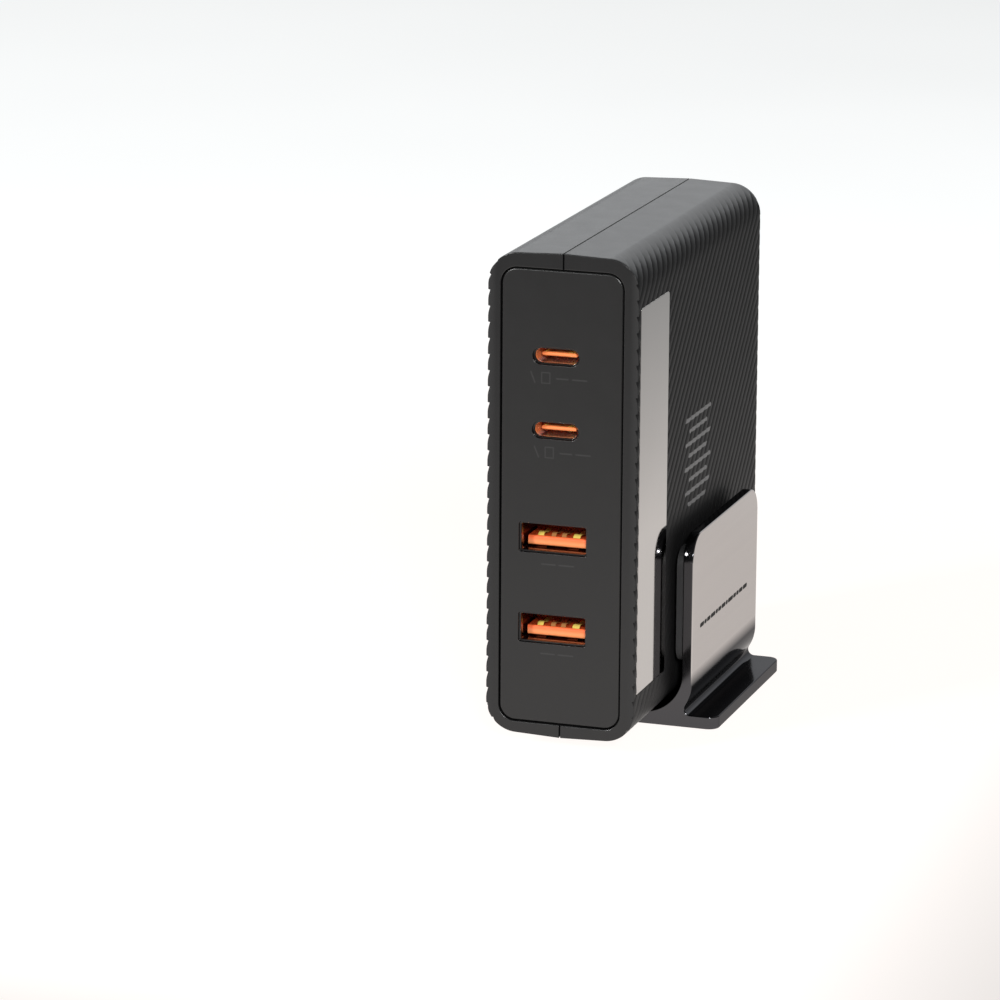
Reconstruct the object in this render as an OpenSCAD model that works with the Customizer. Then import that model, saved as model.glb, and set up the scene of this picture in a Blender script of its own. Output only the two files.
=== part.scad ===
// Desktop charger: two ribbed half shells round a board stack, inset front and
// back panels, a flush bright strip on the right side, and an extruded stand.
// Millimetres. +Z is up, the sockets face -Y, the seam between the half shells
// is the plane X = 0, and Z = 0 is the table under the stand.

/* [Body] */
// Width across the ribbed sides
body_w = 29.2; // [28.8:0.2:30]
// Height from the lower seam ridge to the upper one
body_h = 92.5; // [92:0.5:95]
// Depth from the bezel to the back
body_d = 81; // [80:0.5:83]
// Radius of the four long edges
edge_r = 6; // [5.5:0.25:6.5]
// Moulding draft of the top and bottom faces, in degrees each side of the seam
draft = 2; // [1.5:0.25:2.5]
// Wall of the half shells
wall = 2; // [1.8:0.1:2.2]

/* [Ribs] */
// Spacing of the ribs, measured vertically
rib_pitch = 3.05; // [2.5:0.05:4]
// Depth of the ribs
rib_depth = 0.45; // [0.3:0.05:0.6]
// Smooth margin in front of and behind the ribs
rib_margin = 0.4; // [0.3:0.05:2]
// Height of the pattern of ribs against the middle of the body
rib_shift = 2.85; // [0:0.05:3]

/* [Panels] */
// Width of the front and back panels
panel_w = 23.5; // [23:0.1:24]
// Height of the front and back panels
panel_h = 86.6; // [86:0.2:87]
// Corner radius of the panels
panel_r = 3; // [2.5:0.25:4.5]
// Gap all round each panel
panel_gap = 0.25; // [0.15:0.05:0.3]
// How far the panels sit below the bezel
panel_set = 0.15; // [0.1:0.05:0.3]

/* [Sockets] */
// Height of the upper oval socket above the table
oval_hi = 75.7; // [75:0.1:77]
// Height of the lower oval socket
oval_lo = 61.7; // [61:0.1:63]
// Height of the upper rectangular socket
rect_hi = 41; // [40:0.1:42]
// Height of the lower rectangular socket
rect_lo = 23.6; // [23:0.1:24.5]
// Sideways place of the oval sockets
oval_x = -1.35; // [-2:0.05:0]
// Sideways place of the rectangular sockets
rect_x = -1.7; // [-2:0.05:0]

/* [Strip] */
// Length of the bright strip
strip_h = 73.6; // [70:0.2:74]
// Width of the bright strip
strip_w = 18; // [16:0.5:18.5]
// Thickness of the bright strip
strip_t = 0.8; // [0.6:0.1:1]

/* [Stand] */
// Depth of the stand, front to back
stand_d = 44.6; // [42:0.2:48]
// Top of the upright
stand_h = 37.6; // [34:0.2:40]
// Thickness of the base, with the pad under it
stand_t = 2.65; // [2.4:0.05:3]
// Thickness of the upright
upright_t = 1.95; // [1.6:0.05:2.2]
// Left end of the base
stand_left = -22.6; // [-24:0.2:-20]
// Right end of the flange
stand_right = 24.1; // [22.6:0.1:26]
// Outside radius of the bend, less the upright's thickness
bend_r = 6; // [5:0.5:6]
// Inside radius of the bend
inner_r = 8; // [6:0.25:8]

/* [Hidden] */
$fn = 48;
e = 0.01;

// the body stands on the base plate
z0 = stand_t;
z1 = z0 + body_h;
yf = -body_d / 2;
yb = body_d / 2;
hw = body_w / 2;
// panel centre: the panels sit a touch left of the seam
panel_x = -0.2;
panel_z = z0 + 2.7 + panel_h / 2;
// cavity ends
lip_y = 2.2;
cav_f = yf + 3.7;
cav_b = yb - 3.7;
// stand, centred on its own depth, set back from the bezel
st_f = yf + 22.5;
st_b = st_f + stand_d;
up_in = hw + 2.45;
up_out = up_in + upright_t;
// strip place on the right side
strip_y = yf + 1.35;
strip_z = z0 + 9.4;
// boards
board_x = -9;
board_t = 1.6;
sb_f = yf + 14;

// ---------- helpers ----------
// extrude a 2D shape drawn in X,Z from y_a to y_b
module along_y(y_a, y_b) {
    translate([0, y_b, 0]) rotate([90, 0, 0]) linear_extrude(y_b - y_a) children();
}
// extrude a 2D shape drawn in Y,Z from x_a to x_b
module along_x(x_a, x_b) {
    translate([x_a, 0, 0]) rotate([90, 0, 90]) linear_extrude(x_b - x_a) children();
}
module box(a, b) {
    translate(a) cube([b[0] - a[0], b[1] - a[1], b[2] - a[2]]);
}
module round_rect(w, h, r) {
    square([w - 2 * r, h], center = true);
    square([w, h - 2 * r], center = true);
    for (sx = [-1, 1], sz = [-1, 1])
        translate([sx * (w / 2 - r), sz * (h / 2 - r)]) circle(r);
}
// right half of the body section, drawn in by i all round
module half_section(i) {
    r = edge_r - i;
    cx = hw - edge_r;
    zt = z1 - cx * tan(draft) - edge_r / cos(draft);
    zb = z0 + cx * tan(draft) + edge_r / cos(draft);
    tx = cx + r * sin(draft);
    polygon([[0, z0 + i / cos(draft)], [tx, zb - r * cos(draft)], [cx, zb], [cx + r, zb],
        [cx + r, zt], [cx, zt], [tx, zt + r * cos(draft)], [0, z1 - i / cos(draft)]]);
    translate([cx, zb]) circle(r);
    translate([cx, zt]) circle(r);
}
module panel_shape(grow) {
    translate([panel_x, panel_z])
        round_rect(panel_w + 2 * grow, panel_h + 2 * grow, panel_r + grow);
}

// ---------- half shells ----------
// comb of saw teeth along u, cut into the side; each tooth deepens steadily
// and ends in a step
rib_u = rib_pitch * cos(45);
function comb_pts(n) = concat(
    [[-n * rib_u, 3]],
    [for (k = [-n:1:n - 1]) each [[k * rib_u, 0], [(k + 1) * rib_u - 0.02, -rib_depth]]],
    [[n * rib_u, 3]]);
// sheet of straight ribs for the right side, rising at 45 degrees to the back
module ribs() {
    intersection() {
        box([hw - 1, yf + rib_margin, z0 - 1], [hw + 4, yb - rib_margin, z1 + 1]);
        translate([hw, 0, (z0 + z1) / 2 + rib_shift])
            rotate([45, 0, 0]) rotate([0, 90, 0])
                translate([0, 70, 0]) rotate([90, 0, 0]) linear_extrude(140)
                    mirror([1, 0]) polygon(comb_pts(30));
    }
}
module shell_half() {
    difference() {
        along_y(yf, yb) half_section(0);
        along_y(cav_f, cav_b) {
            half_section(wall);
            translate([-1, z0 + wall + 0.2]) square([2, body_h - 2 * wall - 0.4]);
        }
        ribs();
    }
}
// openings for the panels, with a ledge behind each
module panel_pockets() {
    along_y(yf - 1, yf + lip_y) panel_shape(panel_gap);
    along_y(yb - lip_y, yb + 1) panel_shape(panel_gap);
    along_y(yf - 1, cav_f + 1) panel_shape(-1.2);
    along_y(cav_b - 1, yb + 1) panel_shape(-1.2);
}
module rail(y_a, z_a, z_b) {
    box([11, y_a, z_a], [hw - wall + 0.3, y_a + 1.4, z_b]);
}
module right_shell() color([0.13, 0.13, 0.135]) {
    difference() {
        union() {
            difference() {
                shell_half();
                // rebate for the other half's lip
                box([-1, cav_f + e, z1 - wall - 0.1], [1.1, cav_b - e, z1 - wall + 0.95]);
                box([-1, cav_f + e, z0 + wall - 0.95], [1.1, cav_b - e, z0 + wall + 0.1]);
            }
            rail(sb_f - 1.4, 30, 34);
            rail(sb_f - 1.4, 66, 70);
        }
        panel_pockets();
        // flush pocket for the strip
        translate([hw - strip_t, 0, 0]) along_x(0, 3)
            translate([strip_y + strip_w / 2, strip_z + strip_h / 2])
                round_rect(strip_w, strip_h, 0.8);
    }
}
module left_shell() color([0.13, 0.13, 0.135]) {
    difference() {
        union() {
            mirror([1, 0, 0]) shell_half();
            mirror([1, 0, 0]) rail(sb_f - 1.4, 30, 34);
            mirror([1, 0, 0]) rail(sb_f - 1.4, 66, 70);
            // posts under the main board
            for (p = [[-21.5, 10.5], [-21.5, 87], [30.5, 87], [30.5, 36.5]])
                translate([-hw + wall - 0.3, p[0], p[1]]) rotate([0, 90, 0])
                    cylinder(r = 1.6, h = board_x - board_t + hw - wall + 0.3);
            // lip that reaches into the other half
            box([-1.5, cav_f + 1.5, z1 - wall - 0.05], [1, cav_b - 1.5, z1 - wall + 0.85]);
            box([-1.5, cav_f + 1.5, z0 + wall - 0.85], [1, cav_b - 1.5, z0 + wall + 0.05]);
        }
        panel_pockets();
    }
}

// ---------- panels and strip ----------
module front_panel() color([0.16, 0.16, 0.165]) difference() {
    along_y(yf + panel_set, yf + lip_y) panel_shape(0);
    for (z = [oval_hi, oval_lo])
        translate([0, 0, z]) along_y(yf - 1, yf + 4) translate([oval_x, 0])
            round_rect(9.2, 3.4, 1.69);
    for (z = [rect_hi, rect_lo])
        translate([0, 0, z]) along_y(yf - 1, yf + 4) translate([rect_x, 0])
            round_rect(13.35, 5.8, 0.5);
}
inlet_z = 21;
// figure-eight outline: two round lobes with a narrower waist
module eight(h, r) {
    for (s = [-1, 1]) translate([s * 4.3, 0]) circle(r);
    square([8.6, h], center = true);
}
module back_panel() color([0.16, 0.16, 0.165]) difference() {
    along_y(yb - lip_y, yb - panel_set) panel_shape(0);
    translate([0, 0, inlet_z]) along_y(yb - 4, yb + 1) round_rect(17.6, 10.4, 3);
}
module side_strip() color([0.72, 0.7, 0.68])
    translate([hw - strip_t, 0, 0]) along_x(0, strip_t)
        translate([strip_y + strip_w / 2, strip_z + strip_h / 2])
            round_rect(strip_w - 0.1, strip_h - 0.1, 0.75);

// ---------- stand ----------
bend_c = [up_in - bend_r, stand_t + bend_r];
bend_o = bend_r + upright_t;
// the inside of the bend is rounder, so the bend is thicker than the upright
inner_c = [up_in - inner_r, stand_t + inner_r];
fillet = 1.2;
// centre of the outer fillet, which touches the bend and the plate
fil_z = stand_t + fillet;
fil_x = bend_c[0] + sqrt(pow(bend_o + fillet, 2) - pow(bend_c[1] - fil_z, 2));
// base plate and flange
module plate_section() {
    translate([stand_left + 0.4, 0.2]) square([stand_right - stand_left - 0.8, stand_t - 0.2]);
    translate([stand_left, 0.6]) square([stand_right - stand_left, stand_t - 1]);
    for (x = [stand_left + 0.4, stand_right - 0.4], z = [0.6, stand_t - 0.4])
        translate([x, z]) circle(0.4);
}
// bend and upright: the outer outline less the space for the body
module bend_section() {
    difference() {
        union() {
            translate(bend_c) circle(bend_o, $fn = 96);
            translate(bend_c) square([bend_o, stand_h - bend_c[1]]);
        }
        translate(inner_c) circle(inner_r, $fn = 96);
        translate([inner_c[0] - 20, inner_c[1]]) square([inner_r + 20, stand_h]);
        translate([inner_c[0] - 20, stand_t]) square([20, stand_h]);
        translate([inner_c[0] - 20, -20]) square([40, 21]);
    }
}
// web between the bend and the plate, hollowed by the outer fillet
module web_section() {
    k = (bend_o - 0.6) / (bend_o + fillet);
    difference() {
        polygon([[bend_c[0] + 3, 1.2], [bend_c[0] + 3, bend_c[1] - 6.7],
            [bend_c[0] + k * (fil_x - bend_c[0]), bend_c[1] + k * (fil_z - bend_c[1])],
            [fil_x, fil_z], [fil_x, 1.2]]);
        translate([fil_x, fil_z]) circle(fillet + 0.02);
    }
}
module stand() color([0.5, 0.5, 0.5]) difference() {
    intersection() {
        union() {
            along_y(st_f, st_b) plate_section();
            along_y(st_f, st_b) bend_section();
            along_y(st_f, st_b) web_section();
        }
        // plan: small round corners; side: round top corners of the upright
        linear_extrude(60) translate([(stand_left + stand_right) / 2, (st_f + st_b) / 2])
            round_rect(stand_right - stand_left, stand_d, 2.2);
        along_x(stand_left - 1, stand_right + 1)
            translate([(st_f + st_b) / 2, stand_h - 30]) round_rect(stand_d, 60, 4.6);
    }
    // recess for the pad below
    translate([0, 0, -1]) linear_extrude(1.6) translate([0.75, (st_f + st_b) / 2])
        round_rect(40.2, 38.2, 3.1);
}
module upright_pad() color([0.3, 0.3, 0.3])
    along_x(up_in - 1.35, up_in) translate([(st_f + st_b) / 2, 23.7])
        round_rect(stand_d - 0.8, 22.2, 3.2);
module underside_pad() color([0.12, 0.12, 0.12])
    linear_extrude(0.6) translate([0.75, (st_f + st_b) / 2]) round_rect(40, 38, 3);

// ---------- oval sockets ----------
oval_f = yf + 1.2;
module oval_shell(z) color([0.3, 0.3, 0.31]) translate([0, 0, z]) {
    difference() {
        along_y(oval_f, sb_f) translate([oval_x, 0]) round_rect(8.94, 3.2, 1.58);
        along_y(oval_f - 1, sb_f - 0.3) translate([oval_x, 0]) round_rect(8.34, 2.6, 1.28);
    }
}
module oval_tongue(z) color([0.9, 0.35, 0.1]) translate([0, 0, z]) {
    // rear plug of the moulding, then the flat tongue
    along_y(sb_f - 6.3, sb_f - 0.3) translate([oval_x, 0]) round_rect(8.34, 2.6, 1.28);
    box([oval_x - 3.45, oval_f + 1, -0.35], [oval_x + 3.45, sb_f - 6.2, 0.35]);
}
module oval_contacts(z) color([0.85, 0.68, 0.35]) translate([0, 0, z])
    for (i = [0:11], s = [0, 1]) mirror([0, 0, s])
        box([oval_x + (i - 5.5) * 0.5 - 0.13, oval_f + 1.5, 0.35],
            [oval_x + (i - 5.5) * 0.5 + 0.13, oval_f + 5, 0.43]);

// ---------- rectangular sockets ----------
rect_f = yf + 1.2;
module rect_shell(z) color([0.75, 0.75, 0.76]) translate([rect_x, 0, z]) difference() {
    along_y(rect_f, sb_f) round_rect(13.1, 5.6, 0.6);
    along_y(rect_f - 1, sb_f - 0.3) round_rect(12.5, 5, 0.3);
}
module rect_insulator(z) color([0.9, 0.35, 0.1]) translate([rect_x, 0, z]) {
    along_y(sb_f - 3.8, sb_f - 0.3) round_rect(12.5, 5, 0.3);
    box([-5.75, rect_f + 1.8, -2.25], [5.75, sb_f - 3.7, -0.32]);
}
module rect_contacts(z) color([0.85, 0.68, 0.35]) translate([rect_x, 0, z])
    for (x = [-3.5, -1, 1, 3.5])
        box([x - 0.5, rect_f + 2.8, -0.32], [x + 0.5, sb_f - 3.8, -0.17]);

// ---------- inlet ----------
in_f = yb - 16;
in_b = yb - panel_set - 0.2;
module inlet_housing() color([0.1, 0.1, 0.1]) translate([0, 0, inlet_z]) difference() {
    union() {
        along_y(in_f, in_b) round_rect(17.3, 10.1, 2.9);
        // flange behind the panel
        along_y(yb - 4.2, yb - lip_y) round_rect(19.6, 12.6, 2);
    }
    along_y(in_b - 12.5, in_b + 1) eight(5.6, 3.6);
    // holes that hold the pins
    for (s = [-1, 1]) translate([s * 4.3, in_f - 1, 0]) rotate([-90, 0, 0])
        cylinder(r = 1.18, h = 6);
}
module inlet_pins() color([0.8, 0.8, 0.8]) for (s = [-1, 1]) translate([s * 4.3, 0, inlet_z])
    rotate([-90, 0, 0]) translate([0, 0, in_f - 2])
        cylinder(r = 1.18, h = in_b - 2.6 - in_f + 2);
// insulated lead from a pin to the board, meeting it at height zt
module lead(x, zt) {
    r = 0.9;
    br = 2.5;
    yl = in_f - 2;
    yr = yl - 0.6 - br;
    // forward from the pin
    translate([x, yl, inlet_z]) rotate([90, 0, 0]) cylinder(r = r, h = 0.6);
    // turn upwards
    translate([x, yl - 0.6, inlet_z + br]) mirror([0, 1, 0]) rotate([0, 90, 0])
        rotate_extrude(angle = 90) translate([br, 0]) circle(r);
    // rise
    translate([x, yr, inlet_z + br]) cylinder(r = r, h = zt - br - inlet_z - br);
    // turn to the board
    translate([x - br, yr, zt - br]) rotate([90, 0, 0])
        rotate_extrude(angle = 90) translate([br, 0]) circle(r);
    // into the board
    translate([board_x, yr, zt]) rotate([0, 90, 0]) cylinder(r = r, h = x - br - board_x);
}
module inlet_leads() color([0.7, 0.1, 0.1]) {
    lead(4.3, 33.6);
    lead(-4.3, 30.6);
}

// ---------- boards ----------
mb_f = sb_f + 2.6;
module main_board() color([0.1, 0.35, 0.2])
    along_x(board_x - board_t, board_x) difference() {
        translate([mb_f, 8]) square([33 - mb_f, 82]);
        // clear of the inlet
        translate([21.5, 7]) square([20, 24.5]);
    }
module socket_board() color([0.1, 0.35, 0.2])
    along_y(sb_f, sb_f + board_t) translate([-11.5, 13]) square([23, 72]);
module board_header() color([0.1, 0.1, 0.1]) {
    box([board_x, sb_f + board_t, 46], [board_x + 2.5, mb_f + 2.5, 58]);
    for (z = [47.5:3:56.5])
        box([board_x + 2.5, mb_f + 0.4, z - 0.3], [board_x + 3.1, mb_f + 1, z + 0.3]);
}
module insulation_sheet() color([0.85, 0.82, 0.7])
    along_x(-12.2, -11.8) difference() {
        translate([mb_f + 4.5, 12.5]) square([32 - mb_f - 9, 72]);
        translate([20, 11]) square([20, 22]);
    }

// ---------- parts on the main board ----------
module disc_part(y, z, r, t) {
    translate([board_x + r + 0.8, y - t / 2, z]) rotate([-90, 0, 0]) cylinder(r = r, h = t);
    for (s = [-1, 1]) translate([board_x, y, z + s * 2.5]) rotate([0, 90, 0])
        cylinder(r = 0.35, h = 3);
}
module fuse() color([0.15, 0.3, 0.15])
    translate([board_x, 27.5, 40]) rotate([0, 90, 0]) cylinder(r = 4.2, h = 8);
module thermistor() color([0.1, 0.2, 0.1]) disc_part(18, 41, 4.8, 4.2);
module varistor() color([0.1, 0.25, 0.6]) disc_part(11, 41, 5, 4);
module line_capacitor() color([0.85, 0.75, 0.2])
    box([board_x, 14.5, 48], [4, 32.5, 56]);
module line_choke_core() color([0.15, 0.15, 0.15])
    translate([board_x + 1.1, 23.5, 67]) rotate([0, 90, 0]) rotate_extrude()
        translate([4.8, 0]) square([2.8, 6.4]);
module line_choke_winding() color([0.75, 0.4, 0.15])
    translate([board_x + 1.1, 23.5, 67]) rotate([0, 90, 0])
        for (a = [20, 200]) rotate([0, 0, a]) rotate_extrude(angle = 140)
            difference() {
                translate([3.7, -1.1]) square([5, 8.6]);
                translate([4.75, -0.05]) square([2.9, 6.5]);
            }
module bridge_rectifier() color([0.1, 0.1, 0.1])
    box([board_x, -1, 47], [board_x + 3.6, 12.5, 56.5]);
// closed core with a round centre post; the window runs through along Y
module pot_core(a, b, t, side, yc, zc, post) {
    difference() {
        box(a, b);
        box([a[0] + t, a[1] - 1, a[2] + side], [b[0] - t, b[1] + 1, b[2] - side]);
    }
    translate([a[0] + t - 0.5, yc, zc]) rotate([0, 90, 0])
        cylinder(r = post, h = b[0] - a[0] - 2 * t + 1);
}
module coil(xa, xb, yc, zc, r, post) {
    translate([xa, yc, zc]) rotate([0, 90, 0]) difference() {
        cylinder(r = r, h = xb - xa);
        translate([0, 0, -1]) cylinder(r = post, h = xb - xa + 2);
    }
}
module boost_choke_core() color([0.2, 0.2, 0.2])
    pot_core([board_x, -6, 58.5], [7.5, 11.5, 75.5], 3, 2, 2.75, 67, 2.6);
module boost_choke_winding() color([0.75, 0.4, 0.15])
    coil(board_x + 3, 4.5, 2.75, 67, 6.3, 2.6);
module bulk_capacitors() color([0.12, 0.12, 0.14]) for (y = [3.5, 15.2, 26.9])
    translate([board_x, y, 82.6]) rotate([0, 90, 0]) {
        cylinder(r = 5.6, h = 18.4);
        translate([0, 0, 18.4]) cylinder(r = 5.2, h = 0.5);
    }
module power_switches() color([0.1, 0.1, 0.1]) for (z = [59.5, 68.5])
    box([board_x, -12.8, z], [board_x + 1, -7, z + 6]);
module transformer_core() color([0.18, 0.18, 0.18])
    pot_core([board_x, -5.5, 9.5], [10.3, 17.5, 31], 4, 2.5, 6, 20.25, 4);
module transformer_winding() color([0.9, 0.75, 0.2])
    coil(board_x + 4, 6.3, 6, 20.25, 8.1, 4);
module safety_capacitor() color([0.1, 0.3, 0.7]) disc_part(-9, 50, 3.6, 3.2);
module optocoupler() color([0.92, 0.92, 0.9])
    box([board_x, -12, 36], [board_x + 3.4, -7.4, 42.5]);
module rectifier_switches() color([0.1, 0.1, 0.1]) for (z = [13, 22])
    box([board_x, -14.5, z], [board_x + 1, -8.5, z + 5]);
module output_capacitors() color([0.75, 0.76, 0.78]) for (z = [17, 26.5, 36])
    translate([board_x, -18.6, z]) rotate([0, 90, 0]) cylinder(r = 3.9, h = 12);
module output_chokes() color([0.3, 0.3, 0.3]) for (z = [67, 80])
    translate([board_x, -18, z]) rotate([0, 90, 0]) difference() {
        cylinder(r = 4.6, h = 4.5);
        translate([0, 0, -1]) cylinder(r = 1.9, h = 7);
    }
module port_controllers() color([0.1, 0.1, 0.1]) {
    box([-4, sb_f + board_t, 20], [1, sb_f + board_t + 0.9, 25]);
    box([-4, sb_f + board_t, 44], [1, sb_f + board_t + 0.9, 49]);
    box([-4, sb_f + board_t, 72], [1, sb_f + board_t + 0.9, 77]);
}
module heat_spreader() color([0.7, 0.7, 0.7]) box([11.3, -22, 9], [12.2, 33, 86]);
module thermal_pad() color([0.6, 0.7, 0.8]) box([10.3, -4, 11], [11.3, 16, 29.5]);

left_shell();
right_shell();
front_panel();
back_panel();
side_strip();
stand();
upright_pad();
underside_pad();
oval_shell(oval_hi);  // usb_c_upper_shell
oval_tongue(oval_hi);  // usb_c_upper_tongue
oval_contacts(oval_hi);  // usb_c_upper_contacts
oval_shell(oval_lo);  // usb_c_lower_shell
oval_tongue(oval_lo);  // usb_c_lower_tongue
oval_contacts(oval_lo);  // usb_c_lower_contacts
rect_shell(rect_hi);  // usb_a_upper_shell
rect_insulator(rect_hi);  // usb_a_upper_insulator
rect_contacts(rect_hi);  // usb_a_upper_contacts
rect_shell(rect_lo);  // usb_a_lower_shell
rect_insulator(rect_lo);  // usb_a_lower_insulator
rect_contacts(rect_lo);  // usb_a_lower_contacts
inlet_housing();
inlet_pins();
inlet_leads();
main_board();
socket_board();
board_header();
insulation_sheet();
fuse();
thermistor();
varistor();
line_capacitor();
line_choke_core();
line_choke_winding();
bridge_rectifier();
boost_choke_core();
boost_choke_winding();
bulk_capacitors();
power_switches();
transformer_core();
transformer_winding();
safety_capacitor();
optocoupler();
rectifier_switches();
output_capacitors();
output_chokes();
port_controllers();
heat_spreader();
thermal_pad();
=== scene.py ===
"""Desktop charger on its stand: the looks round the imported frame.

Millimetres inside this script, turned into metres when a mesh is made. The
sockets face -Y, +Z is up, X = 0 is the seam between the two half shells.
"""

import math

import bmesh
import bpy
from mathutils import Matrix, Vector


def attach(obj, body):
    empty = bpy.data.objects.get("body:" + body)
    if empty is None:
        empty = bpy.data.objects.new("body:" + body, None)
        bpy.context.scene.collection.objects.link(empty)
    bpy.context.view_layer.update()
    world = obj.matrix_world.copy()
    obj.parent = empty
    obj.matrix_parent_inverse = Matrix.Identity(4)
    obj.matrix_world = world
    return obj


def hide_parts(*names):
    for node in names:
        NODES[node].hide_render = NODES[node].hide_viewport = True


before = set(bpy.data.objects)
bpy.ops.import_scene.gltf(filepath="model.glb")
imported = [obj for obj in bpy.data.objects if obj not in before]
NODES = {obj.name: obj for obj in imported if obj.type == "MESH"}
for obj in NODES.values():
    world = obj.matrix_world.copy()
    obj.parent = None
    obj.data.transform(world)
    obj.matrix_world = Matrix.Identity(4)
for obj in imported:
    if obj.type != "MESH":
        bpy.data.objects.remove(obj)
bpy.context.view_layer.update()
MM = 0.001
scene = bpy.context.scene

# ---------------------------------------------------------------- dimensions
BODY_W, BODY_H, BODY_D = 29.2, 92.5, 81.0
EDGE_R, DRAFT, WALL = 6.0, math.radians(2.0), 2.0
Z0 = 2.65
Z1 = Z0 + BODY_H
YF, YB = -BODY_D / 2, BODY_D / 2
HW = BODY_W / 2
CX = HW - EDGE_R
ZT = Z1 - CX * math.tan(DRAFT) - EDGE_R / math.cos(DRAFT)
ZB = Z0 + CX * math.tan(DRAFT) + EDGE_R / math.cos(DRAFT)
ARC = EDGE_R * (math.pi / 2 - DRAFT)

RIB_PITCH, RIB_DEPTH, RIB_PHASE = 3.05, 0.45, 2.95
RIM_F, RIM_B = 0.2, 0.4

PANEL_W, PANEL_H, PANEL_R = 23.5, 86.6, 3.0
PANEL_X, PANEL_Z = -0.2, Z0 + 2.7 + PANEL_H / 2
GAP, PANEL_SET, LIP = 0.165, 0.15, 2.2
SOCKET_F = YF + 1.2
OVAL_X, OVAL_ZS = -1.35, (75.7, 61.7)
RECT_X, RECT_ZS = -1.7, (41.0, 23.6)

STRIP_Y0, STRIP_Z0, STRIP_W, STRIP_H, STRIP_T = YF + 1.35, Z0 + 9.4, 18.0, 73.6, 0.8

ST_F, ST_D, ST_H, ST_T, UP_T = YF + 22.5, 44.6, 37.6, 2.65, 1.95
ST_B = ST_F + ST_D
ST_L, ST_R = -22.6, 24.1
BEND_R, BEND_IN = 6.0, 8.0
UP_IN = HW + 2.45
UP_OUT = UP_IN + UP_T
INLET_Z = 21.0
SB_F = YF + 14


# ---------------------------------------------------------------- mesh helpers
def new_object(name, verts, faces, materials, sharp=32.0, weld=1e-5):
    """An object made from points in millimetres, with outward normals and sharp edges marked."""
    mesh = bpy.data.meshes.new(name)
    mesh.from_pydata([(x * MM, y * MM, z * MM) for x, y, z in verts], [], faces)
    mesh.validate()
    obj = bpy.data.objects.new(name, mesh)
    scene.collection.objects.link(obj)
    bm = bmesh.new()
    bm.from_mesh(mesh)
    if weld:
        bmesh.ops.remove_doubles(bm, verts=bm.verts, dist=weld * MM)
    bmesh.ops.recalc_face_normals(bm, faces=bm.faces)
    bm.to_mesh(mesh)
    bm.free()
    for m in materials if isinstance(materials, (list, tuple)) else [materials]:
        mesh.materials.append(m)
    mark_sharp(obj, sharp)
    return obj


def mark_sharp(obj, degrees):
    mesh = obj.data
    bm = bmesh.new()
    bm.from_mesh(mesh)
    limit = math.radians(degrees)
    for face in bm.faces:
        face.smooth = True
    for edge in bm.edges:
        edge.smooth = not (len(edge.link_faces) != 2 or edge.calc_face_angle(0.0) > limit)
    bm.to_mesh(mesh)
    bm.free()
    mesh.update()


def apply_modifiers(obj):
    depsgraph = bpy.context.evaluated_depsgraph_get()
    mesh = bpy.data.meshes.new_from_object(obj.evaluated_get(depsgraph), depsgraph=depsgraph)
    old = obj.data
    obj.modifiers.clear()
    obj.data = mesh
    bpy.data.meshes.remove(old)


def boolean(obj, cutter, operation="DIFFERENCE", sharp=32.0, drop=True):
    mod = obj.modifiers.new("cut", "BOOLEAN")
    mod.operation = operation
    mod.solver = "EXACT"
    mod.object = cutter
    bpy.context.view_layer.update()
    apply_modifiers(obj)
    if drop:
        mesh = cutter.data
        bpy.data.objects.remove(cutter)
        bpy.data.meshes.remove(mesh)
    tidy(obj)
    mark_sharp(obj, sharp)
    return obj


def weighted(obj):
    """Large flat faces keep their own normals beside rounded edges."""
    mod = obj.modifiers.new("normals", "WEIGHTED_NORMAL")
    mod.mode = "FACE_AREA"
    mod.weight = 50
    mod.keep_sharp = True
    apply_modifiers(obj)


def tidy(obj, dist=2e-7):
    bm = bmesh.new()
    bm.from_mesh(obj.data)
    bmesh.ops.remove_doubles(bm, verts=bm.verts, dist=dist)
    bmesh.ops.dissolve_degenerate(bm, edges=bm.edges, dist=dist)
    loose = [v for v in bm.verts if not v.link_faces]
    bmesh.ops.delete(bm, geom=loose, context="VERTS")
    bm.to_mesh(obj.data)
    bm.free()


def bevel(obj, width, segments=2, angle=30.0, sharp=32.0):
    mod = obj.modifiers.new("bevel", "BEVEL")
    mod.width = width * MM
    mod.segments = segments
    mod.limit_method = "ANGLE"
    mod.angle_limit = math.radians(angle)
    mod.use_clamp_overlap = True
    mod.miter_outer = "MITER_ARC"
    bpy.context.view_layer.update()
    apply_modifiers(obj)
    tidy(obj)
    mark_sharp(obj, sharp)
    return obj


def rounded(w, h, r, cx=0.0, cz=0.0, n=8):
    """Corner points of a rounded rectangle, anticlockwise from the right side's lower end."""
    pts = []
    r = max(min(r, w / 2 - 1e-4, h / 2 - 1e-4), 1e-3)
    for sx, sz, a0 in ((1, 1, 0), (-1, 1, 90), (-1, -1, 180), (1, -1, 270)):
        for k in range(n + 1):
            a = math.radians(a0 + 90.0 * k / n)
            pts.append((cx + sx * (w / 2 - r) + r * math.cos(a), cz + sz * (h / 2 - r) + r * math.sin(a)))
    return pts


def loft(name, rings, materials, cap=True, closed=True, sharp=32.0, mat_of=None):
    """Skin over rings of equal length; each ring is a list of 3D points."""
    verts, faces = [], []
    n = len(rings[0])
    for ring in rings:
        verts.extend(ring)
    for i in range(len(rings) - 1):
        for j in range(n if closed else n - 1):
            a, b = i * n + j, i * n + (j + 1) % n
            faces.append((a, b, b + n, a + n))
    if cap:
        faces.append(tuple(range(n - 1, -1, -1)))
        faces.append(tuple(range((len(rings) - 1) * n, len(rings) * n)))
    return new_object(name, verts, faces, materials, sharp)


def along_y(pts, y):
    return [(x, y, z) for x, z in pts]


def along_x(pts, x):
    return [(x, y, z) for y, z in pts]


def along_z(pts, z):
    return [(x, y, z) for x, y in pts]


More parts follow.
